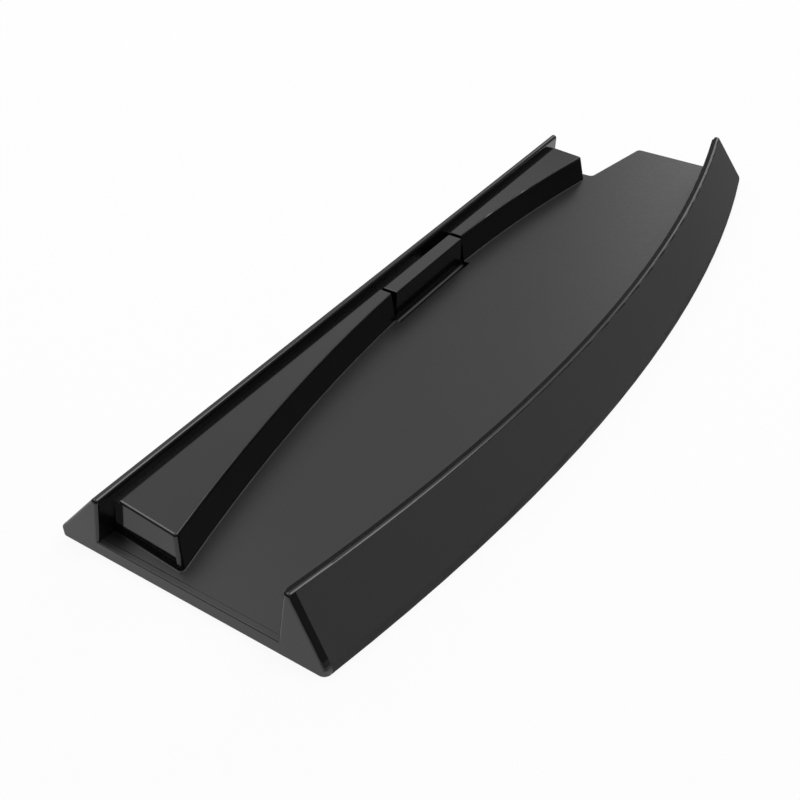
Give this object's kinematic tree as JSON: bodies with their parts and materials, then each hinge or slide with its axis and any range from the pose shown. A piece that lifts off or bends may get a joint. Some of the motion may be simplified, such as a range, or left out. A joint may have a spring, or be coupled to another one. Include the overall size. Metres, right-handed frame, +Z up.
{
  "type": "console vertical stand",
  "caption": "Flat moulded stand that holds a game console upright on its side between a hollowed block with a springy tab and a bowed side wall.",
  "frame": {"origin": "centre of the overall box, on the surface the stand rests on", "axes": "+X from the straight wall with the block towards the bowed wall, +Y from the front end towards the end with the cut-out corner, +Z up"},
  "size_m": [0.0936, 0.2816, 0.0168],
  "materials": {
    "black_plastic": "black: polished block and rims, fine grain on the floor, dull outer faces"
  },
  "bodies": {
    "root": {"stand_body": "black_plastic"}
  },
  "joints": []
}
